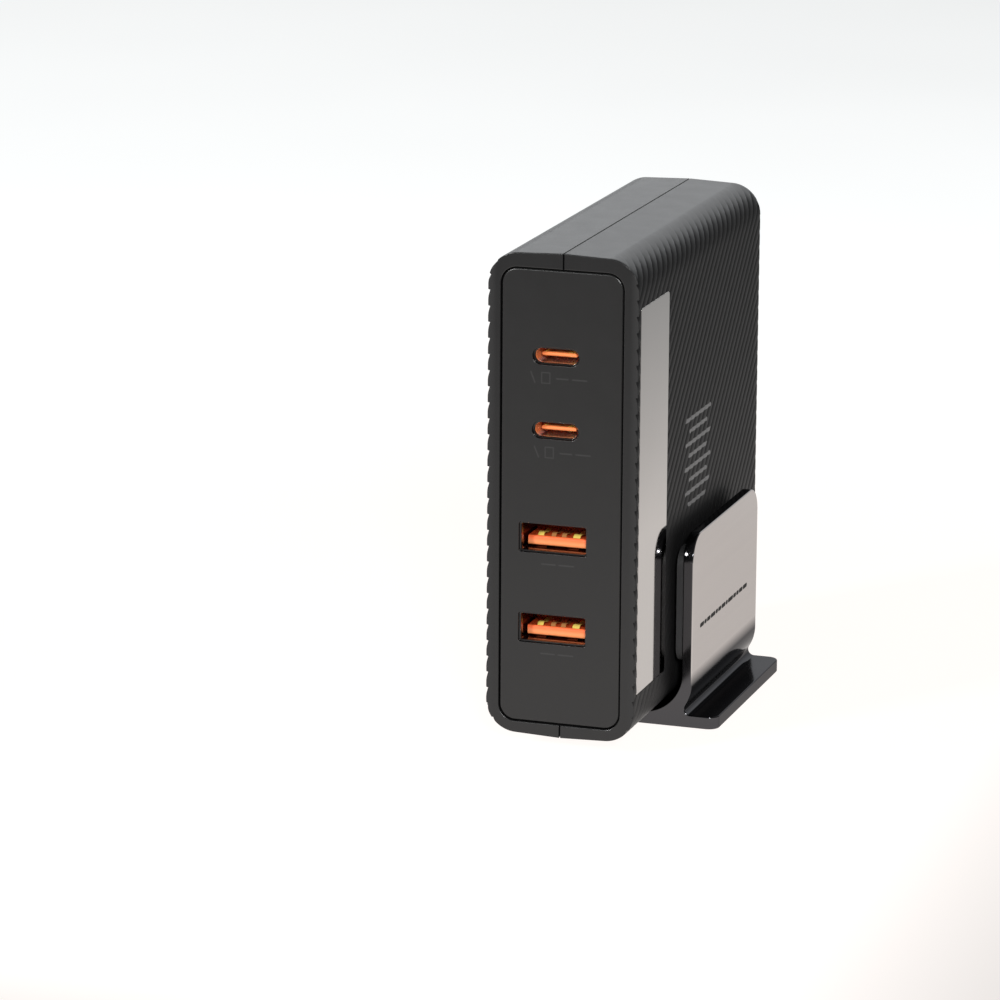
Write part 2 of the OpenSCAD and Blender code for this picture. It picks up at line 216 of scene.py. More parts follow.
def fillet_rows(r, n=5):
    """(distance from the face, inset) pairs from the face to the side."""
    rows = []
    for k in range(n + 1):
        a = math.pi / 2 * k / n
        rows.append((r * (1 - math.cos(a)), r * (1 - math.sin(a))))
    return rows


def box_object(name, lo, hi, material, edge=0.0, segments=2):
    x0, y0, z0 = lo
    x1, y1, z1 = hi
    verts = [(x, y, z) for x in (x0, x1) for y in (y0, y1) for z in (z0, z1)]
    faces = [(0, 1, 3, 2), (4, 6, 7, 5), (0, 4, 5, 1), (2, 3, 7, 6), (0, 2, 6, 4), (1, 5, 7, 3)]
    obj = new_object(name, verts, faces, material)
    if edge:
        bevel(obj, edge, segments)
    return obj


def join(name, objs):
    """One object from several; a material that they share stays one slot."""
    verts, faces, smooth, mats, index = [], [], [], [], []
    bm = bmesh.new()
    slots = []
    for o in objs:
        me = o.data
        lut = []
        for m in me.materials:
            if m not in slots:
                slots.append(m)
            lut.append(slots.index(m))
        before = len(bm.faces)
        bm.from_mesh(me)
        bm.faces.ensure_lookup_table()
        for f in bm.faces[before:]:
            f.material_index = lut[f.material_index] if lut else 0
    mesh = bpy.data.meshes.new(name)
    bm.to_mesh(mesh)
    bm.free()
    for m in slots:
        mesh.materials.append(m)
    obj = bpy.data.objects.new(name, mesh)
    scene.collection.objects.link(obj)
    for o in objs:
        me = o.data
        bpy.data.objects.remove(o)
        bpy.data.meshes.remove(me)
    return obj


# ---------------------------------------------------------------- materials
class Nodes:
    """A short way to write a node tree."""

    def __init__(self, name):
        self.mat = bpy.data.materials.new(name)
        self.mat.use_nodes = True
        self.nt = self.mat.node_tree
        self.bsdf = self.nt.nodes["Principled BSDF"]
        self.coord = self.nt.nodes.new("ShaderNodeTexCoord")

    def node(self, kind, **sockets):
        n = self.nt.nodes.new(kind)
        for key, value in sockets.items():
            self.put(n, key, value)
        return n

    def put(self, n, key, value):
        if key.startswith("_"):
            setattr(n, key[1:], value)
            return
        sock = n.inputs[int(key[1:])] if key[0] == "i" and key[1:].isdigit() else n.inputs[key.replace("__", " ")]
        if isinstance(value, bpy.types.NodeSocket):
            self.nt.links.new(value, sock)
        else:
            sock.default_value = value

    def link(self, out, sock):
        self.nt.links.new(out, sock)

    def math(self, op, a, b=None, c=None, clamp=False):
        n = self.nt.nodes.new("ShaderNodeMath")
        n.operation = op
        n.use_clamp = clamp
        for i, v in enumerate((a, b, c)):
            if v is None:
                continue
            if isinstance(v, bpy.types.NodeSocket):
                self.nt.links.new(v, n.inputs[i])
            else:
                n.inputs[i].default_value = v
        return n.outputs[0]

    def noise(self, scale, detail=3.0, rough=0.55, vector=None, distortion=0.0):
        n = self.nt.nodes.new("ShaderNodeTexNoise")
        n.inputs["Scale"].default_value = scale
        n.inputs["Detail"].default_value = detail
        n.inputs["Roughness"].default_value = rough
        n.inputs["Distortion"].default_value = distortion
        self.link(vector or self.coord.outputs["Object"], n.inputs["Vector"])
        return n.outputs["Fac"]

    def voronoi(self, scale, feature="F1", vector=None, out="Distance"):
        n = self.nt.nodes.new("ShaderNodeTexVoronoi")
        n.feature = feature
        n.inputs["Scale"].default_value = scale
        self.link(vector or self.coord.outputs["Object"], n.inputs["Vector"])
        return n.outputs[out]

    def stretch(self, sx, sy, sz):
        n = self.nt.nodes.new("ShaderNodeMapping")
        n.inputs["Scale"].default_value = (sx, sy, sz)
        self.link(self.coord.outputs["Object"], n.inputs["Vector"])
        return n.outputs["Vector"]

    def span(self, value, lo, hi, a, b):
        n = self.nt.nodes.new("ShaderNodeMapRange")
        self.link(value, n.inputs["Value"])
        n.inputs["From Min"].default_value = lo
        n.inputs["From Max"].default_value = hi
        n.inputs["To Min"].default_value = a
        n.inputs["To Max"].default_value = b
        return n.outputs["Result"]

    def mix(self, fac, a, b):
        n = self.nt.nodes.new("ShaderNodeMix")
        n.data_type = "RGBA"
        for key, value in (("Factor", fac), ("A", a), ("B", b)):
            sock = [s for s in n.inputs if s.name == key and (s.type == "RGBA" or key == "Factor" and s.type == "VALUE")][0]
            if isinstance(value, bpy.types.NodeSocket):
                self.link(value, sock)
            else:
                sock.default_value = value if key == "Factor" else (*value[:3], 1.0)
        return [s for s in n.outputs if s.type == "RGBA"][0]

    def bump(self, height, strength, distance, normal=None):
        n = self.nt.nodes.new("ShaderNodeBump")
        n.inputs["Strength"].default_value = strength
        n.inputs["Distance"].default_value = distance
        self.link(height, n.inputs["Height"])
        if normal is not None:
            self.link(normal, n.inputs["Normal"])
        return n.outputs["Normal"]

    def set(self, **kw):
        for key, value in kw.items():
            sock = self.bsdf.inputs[key.replace("_", " ")]
            if isinstance(value, bpy.types.NodeSocket):
                self.link(value, sock)
            elif isinstance(value, tuple) and len(value) == 3:
                sock.default_value = (*value, 1.0)
            else:
                sock.default_value = value

    def mask(self, u, v, strokes):
        """1 inside any of the strokes, which are (u0, v0, u1, v1, half width) in millimetres, with round ends."""
        out = None
        for u0, v0, u1, v1, w in strokes:
            pu = self.math("SUBTRACT", u, u0 * MM)
            pv = self.math("SUBTRACT", v, v0 * MM)
            bu, bv = (u1 - u0) * MM, (v1 - v0) * MM
            ll = max(bu * bu + bv * bv, 1e-12)
            h = self.math("MULTIPLY_ADD", pu, bu / ll, self.math("MULTIPLY", pv, bv / ll), clamp=True)
            du = self.math("MULTIPLY_ADD", h, -bu, pu)
            dv = self.math("MULTIPLY_ADD", h, -bv, pv)
            d = self.math("SQRT", self.math("MULTIPLY_ADD", du, du, self.math("MULTIPLY", dv, dv)))
            m = self.span(d, w * MM - 0.00005, w * MM + 0.00005, 1.0, 0.0)
            out = m if out is None else self.math("MAXIMUM", out, m)
        return out


def plastic(name, colour, rough, grain=7000.0, grain_strength=0.25, vary=0.12, spec=0.5, ior=1.5, print_mask=None, print_colour=(0.25, 0.25, 0.25), side_rough=None, edge_rough=None):
    """Moulded plastic with a spark-eroded grain and slight unevenness of colour and gloss."""
    n = Nodes(name)
    fine = n.noise(grain, 2.0, 0.6)
    pits = n.voronoi(grain * 0.45)
    broad = n.noise(55.0, 3.0, 0.5)
    tone = n.span(broad, 0.3, 0.7, 0.0, 1.0)
    a = tuple(c * (1 - vary) for c in colour)
    b = tuple(c * (1 + vary) for c in colour)
    col = n.mix(tone, a, b)
    speck = n.span(fine, 0.62, 0.8, 0.0, 0.25)
    col = n.mix(speck, col, tuple(min(1.0, c * 1.8 + 0.004) for c in colour))
    r = n.math("ADD", n.span(n.noise(220.0, 3.0, 0.6), 0.3, 0.7, rough - 0.012, rough + 0.012), n.span(fine, 0.3, 0.7, -0.02, 0.02))
    if side_rough is not None:
        # the ribbed sides are etched duller than the top, bottom and bezel
        x = n.node("ShaderNodeSeparateXYZ", i0=n.coord.outputs["Object"]).outputs[0]
        dull = n.span(n.math("ABSOLUTE", x), 12.9 * MM, 14.3 * MM, 0.0, side_rough - rough)
        r = n.math("ADD", r, dull)
    if edge_rough is not None:
        # fitted: the panels' rounded edges are shaded glossier than their faces
        y = n.node("ShaderNodeSeparateXYZ", i0=n.coord.outputs["Object"]).outputs[1]
        r = n.math("ADD", r, n.span(n.math("ABSOLUTE", y), 40.27 * MM, 40.335 * MM, edge_rough - rough, 0.0))
    if print_mask is not None:
        ink = print_mask(n)
        worn = n.math("MULTIPLY", ink, n.span(n.noise(2600.0, 3.0, 0.7), 0.30, 0.42, 0.55, 1.0))
        col = n.mix(worn, col, print_colour)
        r = n.math("ADD", r, n.math("MULTIPLY", ink, 0.05))
    height = n.math("ADD", fine, n.math("MULTIPLY", pits, 0.6))
    n.set(Base_Color=col, Roughness=r, Normal=n.bump(height, grain_strength, 0.00002), IOR=ior)
    n.bsdf.inputs["Specular IOR Level"].default_value = spec
    return n.mat


def metal(name, colour, rough, vary=0.05, grain=None, grain_strength=0.15, streak=None, streak_rough=(-0.05, 0.07), streak_tone=0.82, metallic=1.0, lean=None):
    n = Nodes(name)
    broad = n.noise(80.0, 3.0, 0.5)
    col = n.mix(n.span(broad, 0.3, 0.7, 0.0, 1.0), tuple(c * (1 - vary) for c in colour), tuple(min(1.0, c * (1 + vary)) for c in colour))
    if streak:
        lines = n.noise(streak[1], 3.0, 0.6, vector=n.stretch(*streak[0]))
        r = n.span(lines, 0.25, 0.75, rough + streak_rough[0], rough + streak_rough[1])
        height = lines
        col = n.mix(n.span(lines, 0.3, 0.7, 0.0, 0.35), col, tuple(c * streak_tone for c in colour))
    else:
        height = n.noise(grain or 6000.0, 2.0, 0.6)
        r = n.math("ADD", n.span(height, 0.3, 0.7, rough - 0.03, rough + 0.03), n.span(n.noise(300.0, 2.0), 0.3, 0.7, -0.02, 0.02))
    normal = None
    if lean is not None:
        # shading only: leans the normal so that the mirrored stand falls in the right place
        surface = n.nt.nodes.new("ShaderNodeNewGeometry").outputs["Normal"]
        add = n.nt.nodes.new("ShaderNodeVectorMath")
        add.operation = "ADD"
        add.inputs[1].default_value = lean
        n.link(surface, add.inputs[0])
        unit = n.nt.nodes.new("ShaderNodeVectorMath")
        unit.operation = "NORMALIZE"
        n.link(add.outputs[0], unit.inputs[0])
        normal = unit.outputs[0]
    n.set(Base_Color=col, Roughness=r, Metallic=metallic, Normal=n.bump(height, grain_strength, 0.00001, normal))
    return n.mat


# the print on the right side: plain bars lying along Y, long and short in turn
def side_motif(n):
    sep = n.node("ShaderNodeSeparateXYZ", i0=n.coord.outputs["Object"])
    x, y, z = sep.outputs
    strokes = []
    for k in range(8):
        zc = 41.0 + 2.386 * k
        inset = 0.0 if k % 2 else 2.4
        strokes.append((-8.8 + inset, zc, 7.3 - inset, zc, 0.38))
    ink = n.mask(y, z, strokes)
    side = n.math("GREATER_THAN", x, 13.5 * MM)
    return n.math("MULTIPLY", ink, side)


# faint marks under the sockets: a small outlined device and short bars
def port_marks(n):
    sep = n.node("ShaderNodeSeparateXYZ", i0=n.coord.outputs["Object"])
    x, y, z = sep.outputs
    strokes = []
    for cz, dx in ((71.6, 0.0), (57.5, 0.8)):
        strokes += [
            (-4.1 + dx, cz + 1.0, -2.5 + dx, cz + 1.0, 0.11),
            (-4.1 + dx, cz - 1.0, -2.5 + dx, cz - 1.0, 0.11),
            (-4.1 + dx, cz + 1.0, -4.1 + dx, cz - 1.0, 0.11),
            (-2.5 + dx, cz + 1.0, -2.5 + dx, cz - 1.0, 0.11),
            (-6.2 + dx, cz + 1.0, -5.4 + dx, cz - 1.0, 0.12),
            (-1.2 + dx, cz, 1.0 + dx, cz, 0.14),
            (1.9 + dx, cz, 4.6 + dx, cz, 0.14),
        ]
    for cz in (36.1, 18.8):
        strokes += [(-3.8, cz, -1.2, cz, 0.14), (-0.4, cz, 2.4, cz, 0.14)]
    ink = n.mask(x, z, strokes)
    front = n.math("LESS_THAN", y, (YF + 1.0) * MM)
    return n.math("MULTIPLY", ink, front)


# the stand's small line of marks: plain dashes of mixed length
def stand_marks(n):
    sep = n.node("ShaderNodeSeparateXYZ", i0=n.coord.outputs["Object"])
    x, y, z = sep.outputs
    strokes = []
    pos = -12.3
    for k, length in enumerate((1.9, 0.7, 1.5, 2.3, 0.7, 1.2, 1.9, 0.5, 2.6, 1.1, 0.8, 1.7, 2.0, 0.6, 1.4)):
        if pos + length > 20.4:
            break
        strokes.append((pos, 19.0, pos + length, 19.0, 0.42))
        pos += length + 1.05
    ink = n.mask(y, z, strokes)
    side = n.math("GREATER_THAN", x, (UP_OUT - 0.3) * MM)
    return n.math("MULTIPLY", ink, side)


M_SHELL = plastic("shell_black_satin", (0.0065, 0.0065, 0.0068), 0.34, vary=0.05, side_rough=0.56, print_mask=side_motif, print_colour=(0.22, 0.22, 0.22))
M_PANEL = plastic("panel_black_matt", (0.0070, 0.0070, 0.0071), 0.36, edge_rough=0.14, grain=9000.0, vary=0.06, print_mask=port_marks, print_colour=(0.02, 0.02, 0.02))
M_DARK = plastic("inlet_black", (0.016, 0.016, 0.017), 0.5, grain=6000.0)
M_STRIP = metal("strip_polished_steel", (0.435, 0.421, 0.408), 0.05, vary=0.015, streak=((300.0, 1800.0, 5.0), 1.0), grain_strength=0.006, streak_rough=(-0.01, 0.02), streak_tone=0.96, lean=(0.0, -0.045, 0.0))


def orange_material():
    """Glossy orange moulding, clear orange at the mouth and deeper red orange inside as painted shade."""
    n = Nodes("socket_orange")
    x, y, z = n.node("ShaderNodeSeparateXYZ", i0=n.coord.outputs["Object"]).outputs
    fine = n.noise(9000.0, 2.0, 0.6)
    flow = n.noise(700.0, 3.0, 0.6)
    clear = n.mix(n.span(flow, 0.3, 0.7, 0.0, 1.0), (0.90, 0.245, 0.076), (0.95, 0.275, 0.088))
    # fitted: the rectangular tongues run from pale orange below to red orange above, painted light below and painted
    # shade above
    low, high = min(RECT_ZS), max(RECT_ZS)
    step = n.math("MULTIPLY", n.math("GREATER_THAN", z, (low + high) / 2 * MM), (high - low) * MM)
    rise = n.math("SUBTRACT", z, n.math("ADD", step, low * MM))
    tongue = n.mix(n.span(rise, -1.55 * MM, -0.6 * MM, 0.0, 1.0), (0.98, 0.33, 0.122), (0.95, 0.165, 0.05))
    clear = n.mix(n.math("LESS_THAN", z, (high + 6.0) * MM), clear, tongue)
    # painted shade: the moulding turns deeper red orange further inside the sockets
    painted_shade_inside = n.mix(n.span(flow, 0.3, 0.7, 0.0, 1.0), (0.54, 0.060, 0.012), (0.62, 0.075, 0.016))
    col = n.mix(n.span(y, (YF + 3.25) * MM, (YF + 3.9) * MM, 0.0, 1.0), clear, painted_shade_inside)
    r = n.math("ADD", n.span(fine, 0.3, 0.7, 0.22, 0.28), n.span(flow, 0.3, 0.7, -0.03, 0.03))
    n.set(Base_Color=col, Roughness=r, Normal=n.bump(fine, 0.08, 0.00002), IOR=1.5)
    return n.mat


M_ORANGE = orange_material()
def contact_material():
    """Gold contacts, fitted: the inner pair is coloured duller than the outer pair, as painted shade."""
    n = Nodes("contact_gold")
    x = n.node("ShaderNodeSeparateXYZ", i0=n.coord.outputs["Object"]).outputs[0]
    off = n.math("ABSOLUTE", n.math("SUBTRACT", x, RECT_X * MM))
    fine = n.noise(6000.0, 2.0, 0.6)
    bright = n.mix(n.span(fine, 0.3, 0.7, 0.0, 1.0), (1.0, 0.76, 0.15), (1.0, 0.80, 0.18))
    # painted shade: darker gold for the recessed inner pair
    dull = n.mix(n.span(fine, 0.3, 0.7, 0.0, 1.0), (0.50, 0.22, 0.07), (0.58, 0.27, 0.09))
    col = n.mix(n.span(off, 1.8 * MM, 2.2 * MM, 0.0, 1.0), dull, bright)
    n.set(Base_Color=col, Roughness=n.span(fine, 0.3, 0.7, 0.32, 0.38), Metallic=0.35, Normal=n.bump(fine, 0.15, 0.00001))
    return n.mat


M_GOLD = contact_material()
# painted shade and painted reflection: the nickel is darkened and tinted red brown by the orange moulding
M_SHELLMETAL = metal("socket_shell_nickel_shaded", (0.29, 0.215, 0.205), 0.16, streak=((30.0, 900.0, 30.0), 6.0), grain_strength=0.03)
def oval_shell_material():
    """Bright shell, fitted: its left end wall is coloured orange, a painted reflection of the orange moulding."""
    n = Nodes("oval_shell_bright")
    x = n.node("ShaderNodeSeparateXYZ", i0=n.coord.outputs["Object"]).outputs[0]
    fine = n.noise(6000.0, 2.0, 0.6)
    # painted reflection: orange on the shell's left end wall
    orange_reflection = n.span(x, (OVAL_X - 3.95) * MM, (OVAL_X - 3.1) * MM, 1.0, 0.0)
    bright = n.mix(n.span(fine, 0.3, 0.7, 0.0, 1.0), (0.84, 0.82, 0.81), (0.88, 0.86, 0.85))
    n.set(Base_Color=n.mix(orange_reflection, bright, (0.98, 0.32, 0.12)), Roughness=n.span(fine, 0.3, 0.7, 0.25, 0.31),
          Metallic=n.span(orange_reflection, 0.0, 1.0, 1.0, 0.25), Normal=n.bump(fine, 0.15, 0.00001))
    return n.mat


M_DARKMETAL = oval_shell_material()
M_PIN = metal("pin_nickel", (0.68, 0.67, 0.65), 0.2)
M_PAD = plastic("soft_pad", (0.019, 0.019, 0.020), 0.62, grain=3500.0, grain_strength=0.5)
M_FOOT = plastic("foot_rubber", (0.02, 0.02, 0.02), 0.72, grain=2500.0, grain_strength=0.6)


def stand_material():
    """Dark anodised extrusion, its outer face coloured lighter as painted light: fine grain, faint draw lines along Y.
    """
    n = Nodes("stand_anodised")
    x, y, z = n.node("ShaderNodeSeparateXYZ", i0=n.coord.outputs["Object"]).outputs
    grain = n.noise(5200.0, 2.0, 0.6)
    draw = n.noise(1.0, 3.0, 0.6, vector=n.stretch(700.0, 9.0, 700.0))
    broad = n.noise(40.0, 2.0, 0.5)
    dark = n.mix(n.span(broad, 0.3, 0.7, 0.0, 1.0), (0.068, 0.068, 0.073), (0.080, 0.079, 0.083))
    light = n.mix(n.span(draw, 0.35, 0.7, 0.0, 1.0), (0.685, 0.652, 0.634), (0.70, 0.666, 0.648))
    # painted light: the upright's flat outer face takes the light colour, fading to dark at its foot as painted
    # reflection
    face = n.math("MULTIPLY", n.span(x, (UP_OUT - 0.16) * MM, (UP_OUT - 0.03) * MM, 0.0, 1.0), n.span(z, 8.5 * MM, 11.0 * MM, 0.0, 1.0))
    col = n.mix(face, dark, light)
    ink = stand_marks(n)
    col = n.mix(ink, col, (0.03, 0.03, 0.03))
    r = n.math("ADD", n.span(grain, 0.3, 0.7, 0.115, 0.14), n.span(draw, 0.3, 0.7, -0.008, 0.01))
    r = n.math("ADD", r, n.math("MULTIPLY", ink, 0.25))
    height = n.math("ADD", grain, n.math("MULTIPLY", draw, 0.4))
    n.set(Base_Color=col, Roughness=r, Metallic=1.0, Normal=n.bump(height, 0.015, 0.00001))
    n.bsdf.inputs["Specular Tint"].default_value = (0.5, 0.5, 0.5, 1.0)
    return n.mat


M_STAND = stand_material()


# ---------------------------------------------------------------- half shells
def side_point(ze, off):
    """Place of the unrolled height ze on the right side, off below the surface."""
    r = EDGE_R - off
    if ze > ZT:
        a = min((ze - ZT) / EDGE_R, math.pi / 2 - DRAFT)
        return CX + r * math.cos(a), ZT + r * math.sin(a)
    if ze < ZB:
        a = min((ZB - ze) / EDGE_R, math.pi / 2 - DRAFT)
        return CX + r * math.cos(a), ZB - r * math.sin(a)
    return HW - off, ze


def rib_mask(ze):
    a = 0.0
    if ze > ZT:
        a = math.degrees((ze - ZT) / EDGE_R)
    elif ze < ZB:
        a = math.degrees((ZB - ze) / EDGE_R)
    t = min(max((a - 24.0) / (60.0 - 24.0), 0.0), 1.0)
    return 1.0 - t * t * (3 - 2 * t)


def rim(y):
    """How far the surface is drawn in by the rounding of the front and back edges."""
    for t, r in ((y - YF, RIM_F), (YB - y, RIM_B)):
        if t < r:
            return r - math.sqrt(max(r * r - (r - t) ** 2, 0.0))
    return 0.0


def rib_fade(y):
    """The ribs run out to the front edge and grow shallow close to the back one."""
    t = min(max((YB - y) / 4.0, 0.0), 1.0)
    return 0.3 + 0.7 * t * t * (3 - 2 * t)


STEPS = 62
ROWS = (
    [YF + RIM_F * t for t in (0.0, 0.06, 0.2, 0.45, 1.0)]
    + [YF + 1.0 + (BODY_D - 2.0) * k / STEPS for k in range(STEPS + 1)]
    + [YB - RIM_B * t for t in (1.0, 0.6, 0.3, 0.1, 0.02, 0.0)]
)
# each rib: a crest just above the step, bulging outwards, then a groove under the next step
TOOTH = ((0.0, 0.12), (0.035, 0.0), (0.2, 0.02), (0.36, 0.075), (0.5, 0.165), (0.62, 0.3), (0.73, 0.5), (0.84, 0.76), (0.93, 1.0), (0.985, 1.0))


def half_shell(name, sgn):
    verts, faces = [], []

    def add(x, y, z):
        verts.append((sgn * x, y, z))
        return len(verts) - 1

    def skin(rows):
        """Quads between chains of equal length; repeated points are dropped."""
        for a, b in zip(rows, rows[1:]):
            for j in range(len(a) - 1):
                ring = []
                for k in (a[j], a[j + 1], b[j + 1], b[j]):
                    if k not in ring:
                        ring.append(k)
                if len(ring) >= 3:
                    faces.append(tuple(ring))

    def fill(loop):
        """One flat face from a closed chain."""
        clean = []
        for k in loop:
            if not clean or clean[-1] != k:
                clean.append(k)
        if clean[0] == clean[-1]:
            clean.pop()
        faces.append(tuple(clean))

    zmax, zmin = ZT + ARC, ZB - ARC
    f_lo = math.floor((zmin + YF - RIB_PHASE) / RIB_PITCH) - 1
    f_hi = math.ceil((zmax + YB - RIB_PHASE) / RIB_PITCH) + 1
    cols = [(k + f, d) for k in range(f_lo, f_hi) for f, d in TOOTH]
    xs = (5.6, 2.8, 1.0, 0.0)
    side_rows, top_rows, bot_rows = [], [], []
    for y in ROWS:
        o = rim(y)
        xt, zt = side_point(zmax, o)
        xb, zb = side_point(zmin, o)
        top = add(xt, y, zt)
        bot = add(xb, y, zb)
        line = []
        for f, d in cols:
            ze = RIB_PITCH * f + RIB_PHASE + y
            if ze >= zmax - 0.02:
                line.append(top)
            elif ze <= zmin + 0.02:
                line.append(bot)
            else:
                x, z = side_point(ze, max(o, RIB_DEPTH * d * rib_mask(ze) * rib_fade(y)))
                line.append(add(x, y, z))
        side_rows.append(line)
        drop = o / math.cos(DRAFT)
        top_rows.append([top] + [add(x, y, Z1 - x * math.tan(DRAFT) - drop) for x in xs])
        bot_rows.append([bot] + [add(x, y, Z0 + x * math.tan(DRAFT) + drop) for x in xs])
    skin(side_rows)
    skin(top_rows)
    skin(bot_rows)

    pcx = PANEL_X * sgn

    def opening(y, grow):
        w2, h2, r = PANEL_W / 2 + grow, PANEL_H / 2 + grow, PANEL_R + grow
        pts = [(0.0, PANEL_Z + h2), (pcx + (w2 - r) * 0.5, PANEL_Z + h2)]
        for k in range(11):
            a = math.radians(90 - 9 * k)
            pts.append((pcx + w2 - r + r * math.cos(a), PANEL_Z + h2 - r + r * math.sin(a)))
        for k in range(1, 6):
            pts.append((pcx + w2, PANEL_Z + (h2 - r) * (1 - k / 3.0)))
        for k in range(11):
            a = math.radians(0 - 9 * k)
            pts.append((pcx + w2 - r + r * math.cos(a), PANEL_Z - h2 + r + r * math.sin(a)))
        pts += [(pcx + (w2 - r) * 0.5, PANEL_Z - h2), (0.0, PANEL_Z - h2)]
        return [add(x, y, z) for x, z in pts]

    def inner(y):
        r = EDGE_R - WALL
        pts = [(0.0, Z1 - WALL / math.cos(DRAFT)), (CX * 0.5, Z1 - CX * 0.5 * math.tan(DRAFT) - WALL / math.cos(DRAFT))]
        for k in range(9):
            a = (math.pi / 2 - DRAFT) * (1 - k / 8)
            pts.append((CX + r * math.cos(a), ZT + r * math.sin(a)))
        for k in range(9):
            a = (math.pi / 2 - DRAFT) * k / 8
            pts.append((CX + r * math.cos(a), ZB - r * math.sin(a)))
        pts += [(CX * 0.5, Z0 + CX * 0.5 * math.tan(DRAFT) + WALL / math.cos(DRAFT)), (0.0, Z0 + WALL / math.cos(DRAFT))]
        return [add(x, y, z) for x, z in pts]

    ends = []
    for s, y0 in ((1, YF), (-1, YB)):
        chains = [
            opening(y0 + s * t, g)
            for t, g in (
                (0.0, GAP + 0.22),
                (0.03, GAP + 0.13),
                (0.1, GAP + 0.05),
                (0.22, GAP),
                (LIP, GAP),
                (LIP, -1.2),
                (3.7, -1.2),
            )
        ]
        skin(chains)
        end = inner(y0 + s * 3.7)
        i = 0 if s == 1 else -1
        outline = list(reversed(top_rows[i])) + list(reversed(side_rows[i])) + bot_rows[i]
        fill(outline + list(reversed(chains[0])))
        fill(chains[-1] + list(reversed(end)))
        ends.append((chains, end))
    skin([ends[0][1], ends[1][1]])
    front, back = ends
    for row, p in ((top_rows, 0), (bot_rows, -1)):
        loop = [r[-1] for r in row]
        loop += [c[p] for c in back[0]] + [back[1][p], front[1][p]]
        loop += [c[p] for c in reversed(front[0])]
        fill(loop)
    return new_object(name, verts, faces, M_SHELL, sharp=24.0, weld=1e-4)


def seam_cutter():
    """A thin wedge that runs round the seam: top, back, bottom and front."""
    w, d = 0.17, 0.42
    section = [(-w - 0.4, 1.0), (-w, 0.0), (0.0, -d), (w, 0.0), (w + 0.4, 1.0)]
    rings = []
    for y, z, sy, sz in ((YF, Z1, -1, 1), (YB, Z1, 1, 1), (YB, Z0, 1, -1), (YF, Z0, -1, -1)):
        rings.append([(x, y + sy * o, z + sz * o) for x, o in section])
    rings.append(rings[0])
    return loft("seam_cutter", rings, M_SHELL, cap=False)


def make_shells():
    made = []
    for name, sgn in (("left_shell_ribbed", -1), ("right_shell_ribbed", 1)):
        obj = half_shell(name, sgn)
        cutter = seam_cutter()
        if sgn == 1:
            pts = strip_outline(0.06)
            pocket = loft("pocket", [along_x(pts, HW - STRIP_T - 0.02), along_x(pts, HW + 1.0)], M_SHELL)
            cutter = join("cutter", [cutter, pocket])
        boolean(obj, cutter, sharp=24.0)
        made.append(obj)
    return made


def strip_outline(grow):
    """Strip seen from the right, in (y, z): small radii at the front, larger ones at the back."""
    y0, y1 = STRIP_Y0 + 0.05 - grow, STRIP_Y0 + STRIP_W - 0.05 + grow
    z0, z1 = STRIP_Z0 + 0.05 - grow, STRIP_Z0 + STRIP_H - 0.05 + grow
    pts = []
    for yc, zc, sy, sz, a0, r in ((y1, z1, 1, 1, 0, 0.8), (y0, z1, -1, 1, 90, 0.45), (y0, z0, -1, -1, 180, 0.45), (y1, z0, 1, -1, 270, 0.8)):
        r = r + grow
        for k in range(7):
            a = math.radians(a0 + 15 * k)
            pts.append((yc - sy * r + r * math.cos(a), zc - sz * r + r * math.sin(a)))
    return pts


def make_strip():
    rings = [along_x(strip_outline(0.0), HW - STRIP_T)]
    for t, inset in reversed(fillet_rows(0.14, 4)):
        rings.append(along_x(strip_outline(-inset), HW - 0.01 - t))
    return loft("side_strip_polished", rings, M_STRIP, sharp=40.0)


# ---------------------------------------------------------------- panels
def plate_with_edge(name, y_front, s, y_back, fr, material):
    """Rounded plate whose outer edge is filleted; s is +1 when its face looks to -Y."""
    rings = []
    for t, inset in fillet_rows(fr, 6):
        rings.append(along_y(rounded(PANEL_W - 2 * inset, PANEL_H - 2 * inset, PANEL_R - inset, PANEL_X, PANEL_Z, 12), y_front + s * t))
    rings.append(along_y(rounded(PANEL_W, PANEL_H, PANEL_R, PANEL_X, PANEL_Z, 12), y_back))
    return loft(name, rings, material)


def hole_cutter(w, h, r, cx, cz, y_front, s, depth, fr, n=8):
    rings = [along_y(rounded(w + 2 * (fr + 0.6), h + 2 * (fr + 0.6), r + fr + 0.6, cx, cz, n), y_front - s * 0.4)]
    for t, inset in fillet_rows(fr, 5):
        rings.append(along_y(rounded(w + 2 * inset, h + 2 * inset, r + inset, cx, cz, n), y_front + s * t))
    rings.append(along_y(rounded(w, h, r, cx, cz, n), y_front + s * depth))
    return loft("cut", rings, M_PANEL)


def socket_cutter(mouth, throat, pocket, cx, cz, fr, n=8):
    """A rounded mouth, a narrower throat that covers the shell's lip, and room for the shell behind."""
    y = YF + PANEL_SET
    w, h, r = mouth
    rings = [along_y(rounded(w + 2 * (fr + 0.6), h + 2 * (fr + 0.6), r + fr + 0.6, cx, cz, n), y - 0.4)]
    for t, inset in fillet_rows(fr, 5):
        rings.append(along_y(rounded(w + 2 * inset, h + 2 * inset, r + inset, cx, cz, n), y + t))
    rings.append(along_y(rounded(w, h, r, cx, cz, n), YF + 0.72))
    w, h, r = throat
    rings.append(along_y(rounded(w + 0.16, h + 0.16, r + 0.08, cx, cz, n), YF + 0.72))
    rings.append(along_y(rounded(w + 0.05, h + 0.05, r + 0.025, cx, cz, n), YF + 0.745))
    rings.append(along_y(rounded(w, h, r, cx, cz, n), YF + 0.8))
    rings.append(along_y(rounded(w, h, r, cx, cz, n), YF + 1.14))
    w, h, r = pocket
    rings.append(along_y(rounded(w, h, r, cx, cz, n), YF + 1.14))
    rings.append(along_y(rounded(w, h, r, cx, cz, n), YF + 4.0))
    return loft("cut", rings, M_PANEL)


